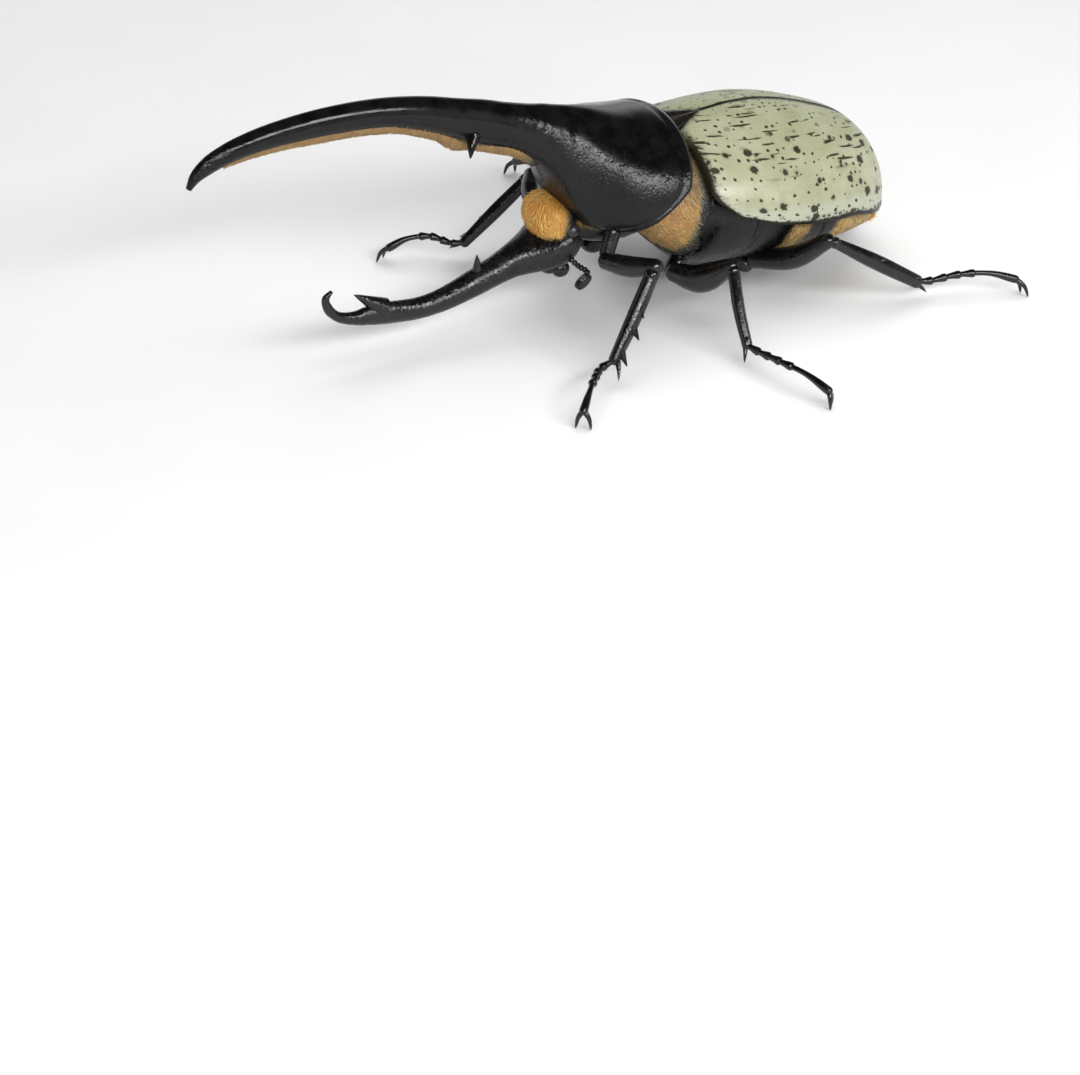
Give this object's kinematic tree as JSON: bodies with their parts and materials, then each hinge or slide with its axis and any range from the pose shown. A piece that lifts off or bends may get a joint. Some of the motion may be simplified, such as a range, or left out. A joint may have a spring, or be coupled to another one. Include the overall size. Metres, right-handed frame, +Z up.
{
  "type": "hercules beetle figure",
  "caption": "Life-size display figure of a male hercules beetle standing on its feet, with a long upper horn, a toothed lower horn and speckled wing covers.",
  "frame": {"origin": "on the floor under the middle of the figure's bounding box", "axes": "-Y toward the head and the horns, +X to the beetle's left side, +Z up"},
  "size_m": [0.1164, 0.169, 0.0568],
  "materials": {
    "shell": "gloss black",
    "wing_cover": "pale olive with dark painted speckles, semi-gloss",
    "sculpted_hair": "ochre over dark grey, matte",
    "belly": "dark with ochre patches, satin",
    "eye": "high gloss",
    "leg": "satin to gloss black"
  },
  "bodies": {
    "root": {"pronotum": "shell", "thoracic_horn": "shell", "head": "shell", "cephalic_horn": "shell", "scutellum": "shell", "mouthparts": "shell", "antenna_left": "shell", "antenna_right": "shell", "prothorax_underside": "shell", "metathorax": "shell", "elytron_left": "wing_cover", "elytron_right": "wing_cover", "horn_pile": "sculpted_hair", "neck_pile": "sculpted_hair", "thorax_pile": "sculpted_hair", "tail_fringe": "sculpted_hair", "abdomen": "belly", "eye_left": "eye", "eye_right": "eye", "coxa_front_left": "leg", "coxa_front_right": "leg", "coxa_middle_left": "leg", "coxa_middle_right": "leg", "coxa_hind_left": "leg", "coxa_hind_right": "leg", "femur_front_left": "leg", "femur_front_right": "leg", "femur_middle_left": "leg", "femur_middle_right": "leg", "femur_hind_left": "leg", "femur_hind_right": "leg", "tibia_front_left": "leg", "tibia_front_right": "leg", "tibia_middle_left": "leg", "tibia_middle_right": "leg", "tibia_hind_left": "leg", "tibia_hind_right": "leg", "tarsus_front_left": "leg", "tarsus_front_right": "leg", "tarsus_middle_left": "leg", "tarsus_middle_right": "leg", "tarsus_hind_left": "leg", "tarsus_hind_right": "leg"}
  },
  "joints": []
}
